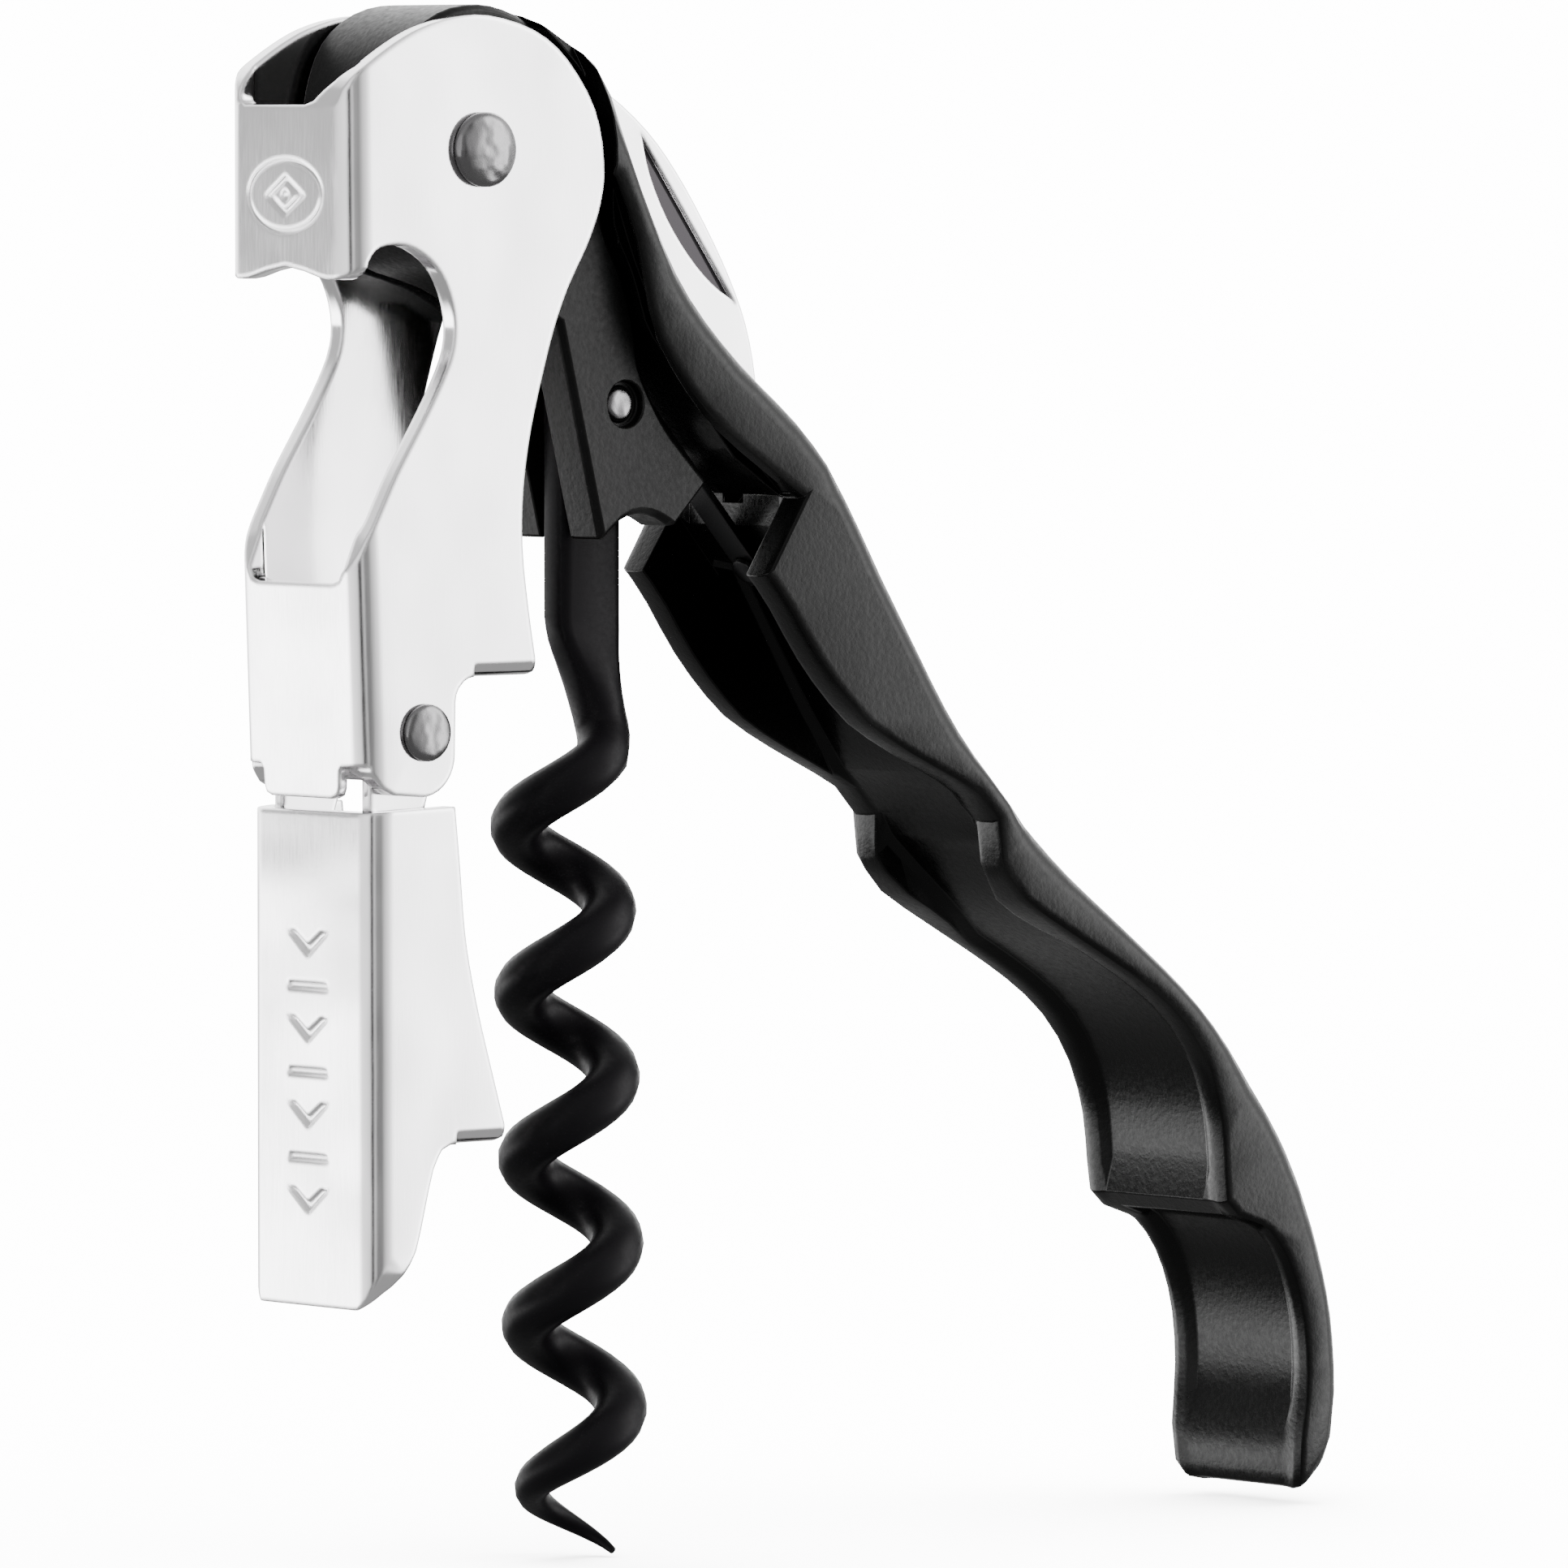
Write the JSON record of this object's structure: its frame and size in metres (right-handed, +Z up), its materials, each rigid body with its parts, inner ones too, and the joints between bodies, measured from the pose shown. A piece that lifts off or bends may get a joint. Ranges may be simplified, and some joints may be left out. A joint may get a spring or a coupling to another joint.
{
  "type": "lever corkscrew",
  "caption": "Folding lever corkscrew: bright steel lever hinged in steps on a black handle, with a worm, a crown cap opener and a foil knife.",
  "frame": {"origin": "middle of the underside of the bounding box, with the lever and the worm upright and the handle swung open", "axes": "+Z runs up the lever to the head, +X from the lever's web towards the handle's end, +Y across the width; every hinge runs along Y"},
  "size_m": [0.0856, 0.0148, 0.0993],
  "materials": {
    "satin_steel": "satin",
    "rivet_steel": "satin",
    "handle_black": "gloss",
    "frame_black": "satin",
    "worm_coating": "satin non-stick coating",
    "blade_steel": "polished",
    "spring_steel": "blackened",
    "washer_nylon": "matte"
  },
  "bodies": {
    "handle": {"handle_shell": "handle_black", "head_frame": "frame_black", "frame_screw_near": "rivet_steel", "frame_screw_far": "rivet_steel", "head_rivet": "rivet_steel", "worm_pin": "rivet_steel", "knife_pin": "rivet_steel", "knife_spring": "spring_steel", "spring_rivet": "spring_steel", "head_washer_near": "washer_nylon", "head_washer_far": "washer_nylon", "knife_washer_near": "washer_nylon", "knife_washer_far": "washer_nylon"},
    "lever": {"lever_arm": "satin_steel", "step_pin": "rivet_steel", "step_spring": "spring_steel", "step_washer_near": "washer_nylon", "step_washer_far": "washer_nylon"},
    "step_arm": {"step_arm": "satin_steel"},
    "worm": {"worm": "worm_coating"},
    "knife": {"knife_blade": "blade_steel"}
  },
  "joints": [
    {"name": "lever_hinge", "type": "hinge", "parent": "handle", "child": "lever", "pos_m": [-0.03185, 0, 0.09013], "axis": [0, -1, 0], "range_deg": [-105, 41.3]},
    {"name": "worm_hinge", "type": "hinge", "parent": "handle", "child": "worm", "pos_m": [-0.01865, 0, 0.07393], "axis": [0, -1, 0], "range_deg": [-102.5, 40.4]},
    {"name": "step_hinge", "type": "hinge", "parent": "lever", "child": "step_arm", "pos_m": [-0.03655, 0, 0.05363], "axis": [0, -1, 0], "range_deg": [-7, 0]},
    {"name": "knife_hinge", "type": "hinge", "parent": "handle", "child": "knife", "pos_m": [-0.02348, 0, 0.09243], "axis": [0, -1, 0], "range_deg": [0, 95]}
  ],
  "couplings": [
    {"joint": "worm_hinge", "follows": "lever_hinge", "ratio": 0.975}
  ]
}
